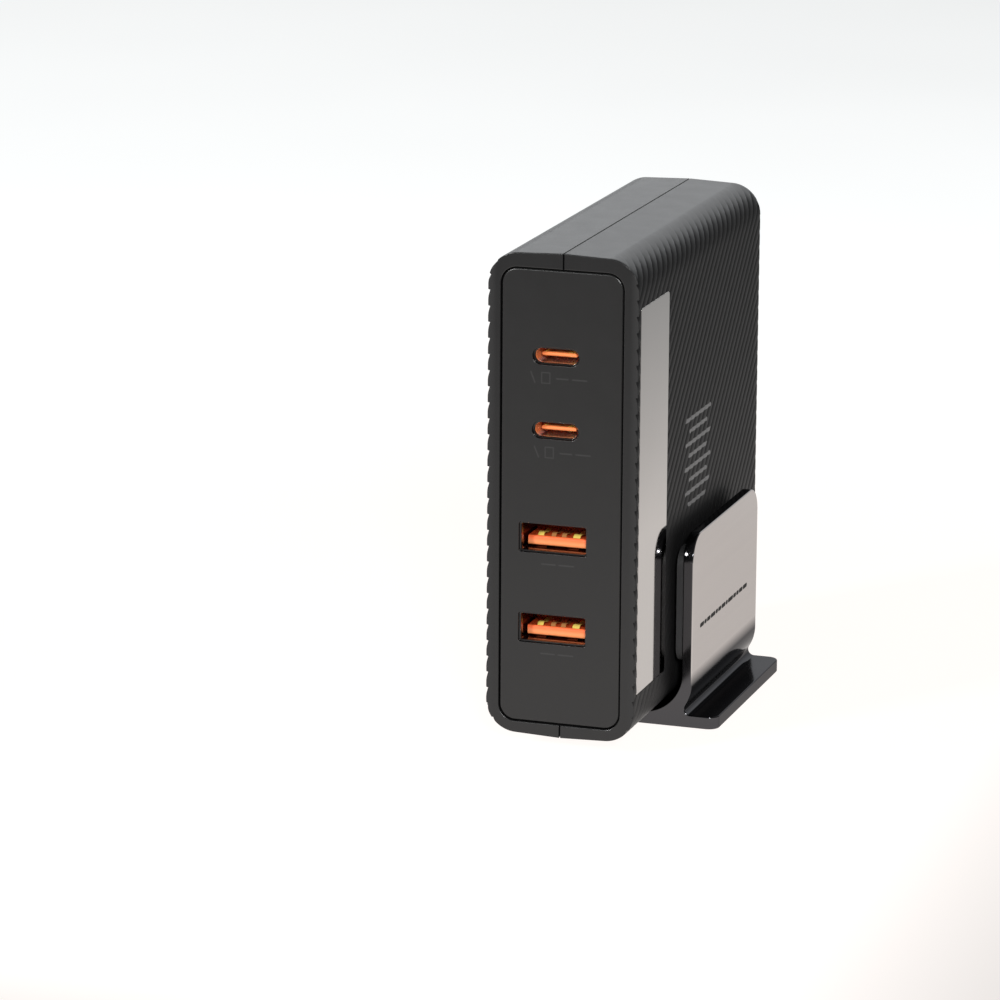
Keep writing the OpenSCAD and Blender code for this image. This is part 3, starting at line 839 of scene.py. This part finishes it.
def make_front_panel():
    y = YF + PANEL_SET
    obj = plate_with_edge("front_panel_plate", y, 1, YF + LIP - 0.02, 0.42, M_PANEL)
    for z in OVAL_ZS:
        boolean(obj, socket_cutter((9.12, 3.32, 1.65), (8.46, 2.72, 1.35), (9.12, 3.34, 1.66), OVAL_X, z, 0.13))
    for z in RECT_ZS:
        boolean(obj, socket_cutter((13.28, 5.74, 0.5), (12.62, 5.12, 0.35), (13.28, 5.76, 0.62), RECT_X, z, 0.12))
    return obj


def make_back_panel():
    y = YB - PANEL_SET
    obj = plate_with_edge("back_panel_plate", y, -1, YB - LIP + 0.02, 0.42, M_PANEL)
    boolean(obj, hole_cutter(17.6, 10.4, 3.0, 0.0, INLET_Z, y, -1, 4.0, 0.22))
    return obj


# ---------------------------------------------------------------- stand
def arc_points(cx, cz, r, a0, a1, n):
    return [(cx + r * math.cos(math.radians(a0 + (a1 - a0) * k / n)), cz + r * math.sin(math.radians(a0 + (a1 - a0) * k / n))) for k in range(n + 1)]


def make_stand():
    cx, cz = UP_IN - BEND_R, ST_T + BEND_R
    ro = BEND_R + UP_T
    f = 1.2
    fz = ST_T + f
    fx = cx + math.sqrt((ro + f) ** 2 - (cz - fz) ** 2)
    touch = math.degrees(math.atan2(fz - cz, fx - cx))
    pts = [(ST_L, 0.2), (ST_R, 0.2), (ST_R, ST_T)]
    # outer fillet, then the outside of the bend
    pts += arc_points(fx, fz, f, -90, -180 + touch, 8)[0:]
    bend = arc_points(cx, cz, ro, touch, 0, 10)
    pts += bend[1:]
    pts += [(UP_OUT, ST_H), (UP_IN, ST_H)]
    pts += arc_points(UP_IN - BEND_IN, ST_T + BEND_IN, BEND_IN, 0, -90, 16)
    pts += [(ST_L, ST_T)]
    obj = loft("stand_extrusion", [along_y(pts, ST_F), along_y(pts, ST_B)], M_STAND)
    ym = (ST_F + ST_B) / 2
    profile = rounded(ST_D, 60.0, 5.2, ym, ST_H - 30.0, 28)
    boolean(obj, loft("profile", [along_x(profile, ST_L - 2), along_x(profile, ST_R + 2)], M_STAND), "INTERSECT")
    plan = rounded(ST_R - ST_L, ST_D, 2.2, (ST_R + ST_L) / 2, ym, 6)
    boolean(obj, loft("plan", [along_z(plan, -2), along_z(plan, 60)], M_STAND), "INTERSECT")
    bm = bmesh.new()
    bm.from_mesh(obj.data)
    bmesh.ops.dissolve_limit(bm, angle_limit=math.radians(0.5), verts=bm.verts, edges=bm.edges)
    bm.to_mesh(obj.data)
    bm.free()
    bevel(obj, 0.22, 3, 35.0, sharp=50.0)
    recess = rounded(40.2, 38.2, 3.1, 0.75, ym, 8)
    boolean(obj, loft("recess", [along_z(recess, -1.0), along_z(recess, 0.6)], M_STAND), sharp=40.0)
    return obj


# ---------------------------------------------------------------- sockets
def make_usb_a_shell(name, z):
    """Folded metal shell with a flared mouth and sprung tabs in its top and bottom walls."""
    rings = []
    for y, w, h, r in (
        (SB_F - 0.3, 12.5, 5.0, 0.3),
        (SOCKET_F + 0.7, 12.5, 5.0, 0.3),
        (SOCKET_F + 0.4, 12.56, 5.06, 0.33),
        (SOCKET_F + 0.17, 12.72, 5.22, 0.41),
        (SOCKET_F + 0.04, 12.9, 5.4, 0.5),
        (SOCKET_F, 13.0, 5.5, 0.55),
        (SOCKET_F + 0.03, 13.07, 5.57, 0.585),
        (SOCKET_F + 0.1, 13.1, 5.6, 0.6),
        (SB_F, 13.1, 5.6, 0.6),
    ):
        rings.append(along_y(rounded(w, h, r, RECT_X, z, 4), y))
    parts = [loft(name, rings, M_SHELLMETAL)]
    for s in (1, -1):
        for dx in (-3.1, 3.1):
            line = [(1.5, -0.08), (2.1, 0.12), (2.9, 0.36), (3.5, 0.42), (4.1, 0.34), (5.6, 0.05), (6.6, -0.08)]
            ring = [(SOCKET_F + t, z + s * (2.5 - o)) for t, o in line]
            ring += [(SOCKET_F + t, z + s * (2.5 - o + 0.14)) for t, o in reversed(line)]
            parts.append(loft("tab", [along_x(ring, RECT_X + dx - 0.95), along_x(ring, RECT_X + dx + 0.95)], M_SHELLMETAL))
    return join(name, parts)


def make_usb_c_shell(name, z):
    """Drawn oval shell with a rounded lip."""
    rings = []
    for y, w, h, r in (
        (SB_F - 0.3, 8.34, 2.6, 1.28),
        (SOCKET_F + 0.3, 8.34, 2.6, 1.28),
        (SOCKET_F + 0.12, 8.4, 2.66, 1.31),
        (SOCKET_F + 0.03, 8.52, 2.78, 1.37),
        (SOCKET_F, 8.66, 2.92, 1.44),
        (SOCKET_F + 0.03, 8.8, 3.06, 1.51),
        (SOCKET_F + 0.12, 8.91, 3.17, 1.565),
        (SOCKET_F + 0.25, 8.94, 3.2, 1.58),
        (SB_F, 8.94, 3.2, 1.58),
    ):
        rings.append(along_y(rounded(w, h, r, OVAL_X, z, 9), y))
    return loft(name, rings, M_DARKMETAL)


def make_usb_a_insulator(name, z):
    """Orange moulding: rear wall and a tongue with a chamfered front edge and four contact grooves."""
    y_t, y_w, y_b = SOCKET_F + 1.8, SB_F - 3.8, SB_F - 0.3
    wall = loft(
        name + "_wall",
        [along_y(rounded(12.5, 5.0, 0.3, RECT_X, z, 3), y_w), along_y(rounded(12.5, 5.0, 0.3, RECT_X, z, 3), y_b)],
        M_ORANGE,
    )
    zl, zh = z - 2.1, z - 0.32
    # blunt nose, fuller below than above
    mid, half = (zl + zh) / 2 - 0.1, (zh - zl) / 2
    nose = []
    for k in range(15):
        a = math.radians(-90.0 + 180.0 * k / 14)
        reach = half + 0.1 if k > 7 else half - 0.1
        z_n = mid + reach * math.copysign(abs(math.sin(a)) ** 0.8, a)
        nose.append((y_t + 0.42 * (1.0 - abs(math.cos(a)) ** 0.9), z_n))
    prof = nose + [(y_w + 0.2, zh), (y_w + 0.2, zl)]
    x0, x1 = RECT_X - 5.75, RECT_X + 5.75
    tongue = loft(name + "_tongue", [along_x(prof, x0), along_x(prof, x1)], M_ORANGE)
    bevel(tongue, 0.07, 2, 60.0)
    for dx, half in ((-3.5, 0.7), (-1.0, 0.57), (1.0, 0.57), (3.5, 0.8)):
        groove = box_object("groove", (RECT_X + dx - half, y_t + 0.52, zh - 0.35), (RECT_X + dx + half, y_w - 0.2, zh + 1.0), M_ORANGE)
        boolean(tongue, groove)
    boolean(tongue, wall, "UNION")
    tongue.name = name
    return tongue


def make_usb_a_contacts(name, z):
    """Four sprung contacts that rise from the tongue's grooves."""
    zh = z - 0.32
    y_t, y_w = SOCKET_F + 1.8, SB_F - 3.8
    parts = []
    for dx, half in ((-3.5, 0.58), (-1.0, 0.45), (1.0, 0.45), (3.5, 0.68)):
        line = [(0.62, -0.24), (0.82, -0.1), (1.05, 0.16), (1.35, 0.38), (1.75, 0.47), (2.4, 0.38), (3.6, 0.0), (4.6, -0.17)]
        line = [(y_t + t, zh + o) for t, o in line] + [(y_w - 0.25, zh - 0.17)]
        th = 0.13
        ring = line + [(y, zz - th) for y, zz in reversed(line)]
        parts.append(loft("c", [along_x(ring, RECT_X + dx - half), along_x(ring, RECT_X + dx + half)], M_GOLD))
    return join(name, parts)


def make_usb_c_tongue(name, z):
    """Orange moulding of an oval socket: rear plug, thicker root and a thin tongue with a rounded tip."""
    x = OVAL_X
    rings = []
    y_tip = SOCKET_F + 1.0
    w, h = 6.9, 0.7
    for t, inset in fillet_rows(0.31, 6):
        rings.append(along_y(rounded(w - 2 * inset, h - 2 * inset, max(0.34 - inset, 0.02), x, z, 4), y_tip + t))
    rings.append(along_y(rounded(w, h, 0.34, x, z, 4), SB_F - 7.75))
    rings.append(along_y(rounded(7.1, 1.25, 0.4, x, z, 4), SB_F - 7.6))
    rings.append(along_y(rounded(7.1, 1.25, 0.4, x, z, 4), SB_F - 6.4))
    rings.append(along_y(rounded(8.32, 2.58, 1.28, x, z, 4), SB_F - 6.3))
    rings.append(along_y(rounded(8.32, 2.58, 1.28, x, z, 4), SB_F - 0.35))
    return loft(name, rings, M_ORANGE)


shells = make_shells()
strip = make_strip()
front_panel = make_front_panel()
back_panel = make_back_panel()
stand = make_stand()
parts = {
    "left_shell": shells[0],
    "right_shell": shells[1],
    "side_strip": strip,
    "front_panel": front_panel,
    "back_panel": back_panel,
    "stand": stand,
}
for tag, z in (("upper", RECT_ZS[0]), ("lower", RECT_ZS[1])):
    parts["usb_a_%s_shell" % tag] = make_usb_a_shell("rect_%s_shell" % tag, z)
    parts["usb_a_%s_insulator" % tag] = make_usb_a_insulator("rect_%s_moulding" % tag, z)
    parts["usb_a_%s_contacts" % tag] = make_usb_a_contacts("rect_%s_springs" % tag, z)
for tag, z in (("upper", OVAL_ZS[0]), ("lower", OVAL_ZS[1])):
    parts["usb_c_%s_shell" % tag] = make_usb_c_shell("oval_%s_shell" % tag, z)
    parts["usb_c_%s_tongue" % tag] = make_usb_c_tongue("oval_%s_moulding" % tag, z)
for node, obj in parts.items():
    weighted(obj)
    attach(obj, "root")
    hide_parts(node)


# ---------------------------------------------------------------- carried-over nodes
def board_material():
    n = Nodes("board_green")
    fine = n.noise(2500.0, 3.0)
    tracks = n.voronoi(420.0, "F1")
    col = n.mix(n.span(tracks, 0.0, 0.6, 0.0, 1.0), (0.012, 0.095, 0.035), (0.02, 0.15, 0.055))
    n.set(Base_Color=col, Roughness=n.span(fine, 0.3, 0.7, 0.3, 0.42), Normal=n.bump(tracks, 0.2, 0.00003))
    return n.mat


def wound(name, colour, axis_scale):
    n = Nodes(name)
    turns = n.noise(1.0, 2.0, 0.5, vector=n.stretch(*axis_scale))
    col = n.mix(n.span(turns, 0.3, 0.7, 0.0, 1.0), tuple(c * 0.6 for c in colour), colour)
    n.set(Base_Color=col, Roughness=0.3, Metallic=0.8, Normal=n.bump(turns, 0.5, 0.0001))
    return n.mat


INNER = {
    "usb_c_upper_contacts": M_GOLD,
    "usb_c_lower_contacts": M_GOLD,
    "upright_pad": M_PAD,
    "underside_pad": M_FOOT,
    "inlet_housing": M_DARK,
    "inlet_pins": M_PIN,
    "inlet_leads": plastic("lead_red", (0.45, 0.03, 0.02), 0.4),
    "main_board": board_material(),
    "socket_board": board_material(),
    "board_header": plastic("header_black", (0.02, 0.02, 0.02), 0.45),
    "insulation_sheet": plastic("sheet_amber", (0.5, 0.28, 0.08), 0.3),
    "fuse": plastic("fuse_brown", (0.12, 0.05, 0.02), 0.35),
    "thermistor": plastic("thermistor_green", (0.02, 0.09, 0.04), 0.5),
    "varistor": plastic("varistor_blue", (0.02, 0.07, 0.32), 0.45),
    "line_capacitor": plastic("line_capacitor_yellow", (0.6, 0.42, 0.06), 0.35),
    "line_choke_core": plastic("ferrite_grey", (0.05, 0.05, 0.052), 0.55),
    "line_choke_winding": wound("winding_copper", (0.75, 0.32, 0.12), (1500.0, 60.0, 60.0)),
    "bridge_rectifier": plastic("bridge_black", (0.025, 0.025, 0.025), 0.5),
    "boost_choke_core": plastic("ferrite_dark", (0.04, 0.04, 0.042), 0.6),
    "boost_choke_winding": wound("winding_copper_b", (0.75, 0.32, 0.12), (1500.0, 60.0, 60.0)),
    "bulk_capacitors": plastic("sleeve_black", (0.02, 0.02, 0.03), 0.25),
    "power_switches": plastic("package_black", (0.02, 0.02, 0.02), 0.5),
    "transformer_core": plastic("ferrite_transformer", (0.045, 0.045, 0.047), 0.55),
    "transformer_winding": plastic("tape_yellow", (0.7, 0.5, 0.06), 0.35),
    "safety_capacitor": plastic("capacitor_blue", (0.03, 0.12, 0.4), 0.4),
    "optocoupler": plastic("package_white", (0.75, 0.74, 0.7), 0.45),
    "rectifier_switches": plastic("package_black_b", (0.02, 0.02, 0.02), 0.5),
    "output_capacitors": metal("can_aluminium", (0.75, 0.75, 0.76), 0.25),
    "output_chokes": plastic("choke_grey", (0.09, 0.09, 0.1), 0.5),
    "port_controllers": plastic("package_black_c", (0.02, 0.02, 0.02), 0.5),
    "heat_spreader": metal("spreader_aluminium", (0.7, 0.7, 0.71), 0.35, streak=((60.0, 60.0, 1200.0), 1.0)),
    "thermal_pad": plastic("thermal_pad_blue", (0.3, 0.42, 0.5), 0.7),
}
for name, mat in INNER.items():
    mesh = NODES[name].data
    mesh.materials.clear()
    mesh.materials.append(mat)

# ---------------------------------------------------------------- stage
def stage_floor():
    """White table top, lit from below; its glow falls off to the right and in front."""
    n = Nodes("floor_white")
    sep = n.node("ShaderNodeSeparateXYZ", i0=n.coord.outputs["Object"])
    x, y, z = sep.outputs

    def fall(value, start, length, low):
        over = n.math("MAXIMUM", n.math("SUBTRACT", value, start), 0.0)
        e = n.math("EXPONENT", n.math("MULTIPLY", over, -1.0 / length))
        return n.math("MULTIPLY_ADD", e, 1.0 - low, low)

    glow = n.math("MULTIPLY", fall(x, 0.075, 0.090, 0.2), fall(n.math("MULTIPLY", y, -1.0), 0.185, 0.11, 0.14))
    glow = n.math("MULTIPLY", glow, fall(y, 0.35, 2.6, 0.1))
    glow = n.math("MULTIPLY", glow, n.span(n.noise(3.0, 2.0), 0.3, 0.7, 0.98, 1.02))
    n.set(Base_Color=(0.12, 0.12, 0.12), Roughness=0.7)
    n.bsdf.inputs["Specular IOR Level"].default_value = 0.0
    near = n.span(y, 0.12, 0.45, 1.0, 0.0)
    n.link(n.mix(near, (0.985, 1.0, 1.0), (1.0, 0.95, 0.92)), n.bsdf.inputs["Emission Color"])
    n.link(glow, n.bsdf.inputs["Emission Strength"])
    return n.mat


def stage_plane(name, size, loc, rot, mat):
    verts = [(-size[0], -size[1], 0), (size[0], -size[1], 0), (size[0], size[1], 0), (-size[0], size[1], 0)]
    mesh = bpy.data.meshes.new(name)
    mesh.from_pydata(verts, [], [(0, 1, 2, 3)])
    obj = bpy.data.objects.new(name, mesh)
    scene.collection.objects.link(obj)
    obj.location = loc
    obj.rotation_euler = rot
    mesh.materials.append(mat)
    return obj


floor = stage_plane("floor", (6.0, 6.0), (0, 0, 0), (0, 0, 0), stage_floor())

world = bpy.data.worlds.new("studio")
scene.world = world
world.use_nodes = True
wn = world.node_tree
bg = wn.nodes["Background"]
wc = wn.nodes.new("ShaderNodeTexCoord")
# a pale backdrop at the back, a dim room elsewhere
dot = wn.nodes.new("ShaderNodeVectorMath")
dot.operation = "DOT_PRODUCT"
dot.inputs[1].default_value = Vector((-0.28, 0.95, 0.12)).normalized()
wn.links.new(wc.outputs["Generated"], dot.inputs[0])
ramp = wn.nodes.new("ShaderNodeMapRange")
ramp.interpolation_type = "SMOOTHSTEP"
ramp.inputs["From Min"].default_value = 0.62
ramp.inputs["From Max"].default_value = 0.93
ramp.inputs["To Min"].default_value = 0.085
ramp.inputs["To Max"].default_value = 1.15
wn.links.new(dot.outputs["Value"], ramp.inputs["Value"])
bg.inputs["Color"].default_value = (0.96, 0.98, 1.0, 1.0)
wn.links.new(ramp.outputs["Result"], bg.inputs["Strength"])


def area(name, loc, target, size, power, colour=(1, 1, 1)):
    light = bpy.data.lights.new(name, "AREA")
    light.shape = "RECTANGLE"
    light.size, light.size_y = size
    light.energy = power
    light.color = colour
    obj = bpy.data.objects.new(name, light)
    scene.collection.objects.link(obj)
    obj.location = loc
    obj.rotation_euler = (Vector(target) - Vector(loc)).to_track_quat("-Z", "Y").to_euler()
    return obj


area("front_left_softbox", (-1.25, -1.75, 1.0), (0.0, 0.0, 0.05), (0.3, 0.3), 36.0)
area("front_right_softbox", (0.85, -1.95, 0.95), (0.0, 0.0, 0.05), (0.3, 0.3), 32.0)

# ---------------------------------------------------------------- camera
cam_data = bpy.data.cameras.new("camera")
cam = bpy.data.objects.new("camera", cam_data)
scene.collection.objects.link(cam)
yaw, pitch, roll = (math.radians(v) for v in (-18.64993, 14.22691, 0.33738))
forward = Vector((math.sin(yaw) * math.cos(pitch), math.cos(yaw) * math.cos(pitch), -math.sin(pitch)))
right = Vector((math.cos(yaw), -math.sin(yaw), 0.0))
up = right.cross(forward)
right_r = right * math.cos(roll) + up * math.sin(roll)
up_r = -right * math.sin(roll) + up * math.cos(roll)
cam.location = (0.2731486, -0.8853878, 0.2737710)
basis = [right_r, up_r, -forward]
cam.rotation_euler = Matrix([[b[i] for b in basis] for i in range(3)]).to_euler()
cam_data.sensor_width = 36.0
cam_data.sensor_fit = "HORIZONTAL"
cam_data.lens = 4948.184 * 36.0 / 1000.0
cam_data.clip_start = 0.01
scene.camera = cam

scene.view_settings.view_transform = "Standard"
scene.view_settings.look = "None"

bpy.context.view_layer.update()
